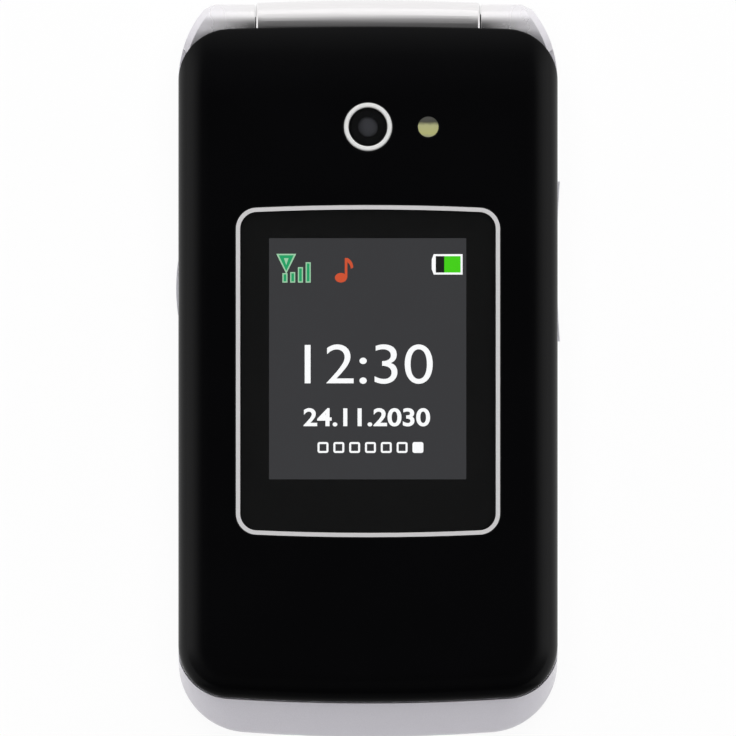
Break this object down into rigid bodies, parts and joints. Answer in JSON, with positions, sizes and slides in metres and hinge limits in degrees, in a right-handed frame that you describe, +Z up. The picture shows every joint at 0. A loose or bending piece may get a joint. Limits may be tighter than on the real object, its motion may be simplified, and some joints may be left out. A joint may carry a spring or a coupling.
{
  "type": "flip phone",
  "caption": "Folding mobile phone, closed, with an outer display and camera in the lid, a keypad inside and a hinge barrel between the ears of its base.",
  "frame": {"origin": "centre of the footprint, on the surface that the back of the phone lies on", "axes": "+Z up through the closed lid, +Y towards the hinge, +X to the right of someone who looks down on the lid with the hinge away from them"},
  "size_m": [0.0546, 0.105, 0.0199],
  "materials": {
    "silver_shell": "silver paint with a fine metallic flake, satin gloss",
    "battery_cover": "silver paint with a fine metallic flake, satin gloss",
    "lid_black": "deep black piano gloss lacquer",
    "inner_black": "black, semi-gloss moulded plastic",
    "window_glass": "clear hard-coated acrylic, black printed border",
    "bright_trim": "bright plated trim",
    "display_panel": "dark liquid crystal module",
    "module_black": "matt black moulding",
    "flash_lens": "yellowish diffusing lens",
    "key_plastic": "black keys with light legends",
    "nav_metal": "silver ring with a circular brush",
    "side_key_plastic": "silver painted keys",
    "board_laminate": "green solder resist",
    "sheet_metal": "tinned sheet metal",
    "hinge_steel": "plain turned steel",
    "bush_plastic": "black acetal",
    "rubber": "soft dark rubber",
    "battery_label_free": "dark grey wrap, plain",
    "flex_film": "amber polyimide film"
  },
  "bodies": {
    "base": {"rear_housing": "silver_shell", "battery_pack": "battery_label_free", "battery_contacts": "bush_plastic", "sim_card_holder": "sheet_metal", "main_board": "board_laminate", "charge_port": "sheet_metal", "shield_cans": "sheet_metal", "loudspeaker": "module_black", "vibration_motor": "sheet_metal", "antenna": "bush_plastic", "keypad_frame": "inner_black", "keypad_mat": "rubber", "side_switches": "sheet_metal", "base_screws": "hinge_steel", "hinge_shaft": "hinge_steel", "hinge_bush": "bush_plastic", "base_flex_cable": "flex_film"},
    "lid": {"lid_outer_cover": "lid_black", "lid_inner_cover": "inner_black", "outer_display_window": "window_glass", "outer_window_trim": "bright_trim", "outer_display_panel": "display_panel", "camera_trim_ring": "bright_trim", "camera_window": "window_glass", "camera_module": "module_black", "flash_lens": "flash_lens", "main_display_panel": "display_panel", "main_display_window": "window_glass", "lid_frame": "sheet_metal", "lid_board": "board_laminate", "earpiece_speaker": "module_black", "earpiece_mesh": "sheet_metal", "lid_magnet": "sheet_metal", "lid_bumpers": "rubber", "lid_screws": "hinge_steel", "hinge_barrel": "silver_shell", "hinge_cartridge": "hinge_steel", "lid_flex_cable": "flex_film"},
    "key_1": {"key_1": "key_plastic"},
    "key_2": {"key_2": "key_plastic"},
    "key_3": {"key_3": "key_plastic"},
    "key_4": {"key_4": "key_plastic"},
    "key_5": {"key_5": "key_plastic"},
    "key_6": {"key_6": "key_plastic"},
    "key_7": {"key_7": "key_plastic"},
    "key_8": {"key_8": "key_plastic"},
    "key_9": {"key_9": "key_plastic"},
    "key_star": {"key_star": "key_plastic"},
    "key_0": {"key_0": "key_plastic"},
    "key_hash": {"key_hash": "key_plastic"},
    "soft_key_left": {"soft_key_left": "key_plastic"},
    "soft_key_right": {"soft_key_right": "key_plastic"},
    "call_key": {"call_key": "key_plastic"},
    "end_key": {"end_key": "key_plastic"},
    "clear_key": {"clear_key": "key_plastic"},
    "ok_key": {"ok_key": "key_plastic"},
    "navigation_ring": {"navigation_ring": "nav_metal"},
    "volume_rocker": {"volume_rocker": "side_key_plastic"},
    "side_key": {"side_key": "side_key_plastic"},
    "battery_cover": {"battery_cover": "battery_cover"}
  },
  "joints": [
    {"name": "lid_hinge", "type": "hinge", "parent": "base", "child": "lid", "pos_m": [0, 0.0483, 0.01155], "axis": [-1, 0, 0], "range_deg": [0, 160]},
    {"name": "key_1_press", "type": "slide", "parent": "base", "child": "key_1", "axis": [0, 0, -1], "range_m": [0, 0.0004], "stiffness_N_per_m": 2500, "springref_m": -0.00004},
    {"name": "key_2_press", "type": "slide", "parent": "base", "child": "key_2", "axis": [0, 0, -1], "range_m": [0, 0.0004], "stiffness_N_per_m": 2500, "springref_m": -0.00004},
    {"name": "key_3_press", "type": "slide", "parent": "base", "child": "key_3", "axis": [0, 0, -1], "range_m": [0, 0.0004], "stiffness_N_per_m": 2500, "springref_m": -0.00004},
    {"name": "key_4_press", "type": "slide", "parent": "base", "child": "key_4", "axis": [0, 0, -1], "range_m": [0, 0.0004], "stiffness_N_per_m": 2500, "springref_m": -0.00004},
    {"name": "key_5_press", "type": "slide", "parent": "base", "child": "key_5", "axis": [0, 0, -1], "range_m": [0, 0.0004], "stiffness_N_per_m": 2500, "springref_m": -0.00004},
    {"name": "key_6_press", "type": "slide", "parent": "base", "child": "key_6", "axis": [0, 0, -1], "range_m": [0, 0.0004], "stiffness_N_per_m": 2500, "springref_m": -0.00004},
    {"name": "key_7_press", "type": "slide", "parent": "base", "child": "key_7", "axis": [0, 0, -1], "range_m": [0, 0.0004], "stiffness_N_per_m": 2500, "springref_m": -0.00004},
    {"name": "key_8_press", "type": "slide", "parent": "base", "child": "key_8", "axis": [0, 0, -1], "range_m": [0, 0.0004], "stiffness_N_per_m": 2500, "springref_m": -0.00004},
    {"name": "key_9_press", "type": "slide", "parent": "base", "child": "key_9", "axis": [0, 0, -1], "range_m": [0, 0.0004], "stiffness_N_per_m": 2500, "springref_m": -0.00004},
    {"name": "key_star_press", "type": "slide", "parent": "base", "child": "key_star", "axis": [0, 0, -1], "range_m": [0, 0.0004], "stiffness_N_per_m": 2500, "springref_m": -0.00004},
    {"name": "key_0_press", "type": "slide", "parent": "base", "child": "key_0", "axis": [0, 0, -1], "range_m": [0, 0.0004], "stiffness_N_per_m": 2500, "springref_m": -0.00004},
    {"name": "key_hash_press", "type": "slide", "parent": "base", "child": "key_hash", "axis": [0, 0, -1], "range_m": [0, 0.0004], "stiffness_N_per_m": 2500, "springref_m": -0.00004},
    {"name": "soft_key_left_press", "type": "slide", "parent": "base", "child": "soft_key_left", "axis": [0, 0, -1], "range_m": [0, 0.0004], "stiffness_N_per_m": 2500, "springref_m": -0.00004},
    {"name": "soft_key_right_press", "type": "slide", "parent": "base", "child": "soft_key_right", "axis": [0, 0, -1], "range_m": [0, 0.0004], "stiffness_N_per_m": 2500, "springref_m": -0.00004},
    {"name": "call_key_press", "type": "slide", "parent": "base", "child": "call_key", "axis": [0, 0, -1], "range_m": [0, 0.0004], "stiffness_N_per_m": 2500, "springref_m": -0.00004},
    {"name": "end_key_press", "type": "slide", "parent": "base", "child": "end_key", "axis": [0, 0, -1], "range_m": [0, 0.0004], "stiffness_N_per_m": 2500, "springref_m": -0.00004},
    {"name": "clear_key_press", "type": "slide", "parent": "base", "child": "clear_key", "axis": [0, 0, -1], "range_m": [0, 0.0004], "stiffness_N_per_m": 2500, "springref_m": -0.00004},
    {"name": "ok_key_press", "type": "slide", "parent": "base", "child": "ok_key", "axis": [0, 0, -1], "range_m": [0, 0.0004], "stiffness_N_per_m": 2500, "springref_m": -0.00004},
    {"name": "navigation_ring_tilt", "type": "hinge", "parent": "base", "child": "navigation_ring", "pos_m": [0, 0.027, 0.0102], "axis": [1, 0, 0], "range_deg": [-1.5, 1.5], "stiffness_Nm_per_rad": 0.34},
    {"name": "volume_rocker_rock", "type": "hinge", "parent": "base", "child": "volume_rocker", "pos_m": [0.0251, 0.0153, 0.0074], "axis": [0, 0, 1], "range_deg": [-1.5, 1.5], "stiffness_Nm_per_rad": 0.54},
    {"name": "side_key_press", "type": "slide", "parent": "base", "child": "side_key", "axis": [1, 0, 0], "range_m": [0, 0.0003], "stiffness_N_per_m": 4000},
    {"name": "battery_cover_slide", "type": "slide", "parent": "base", "child": "battery_cover", "axis": [0, -1, 0], "range_m": [0, 0.008]}
  ]
}
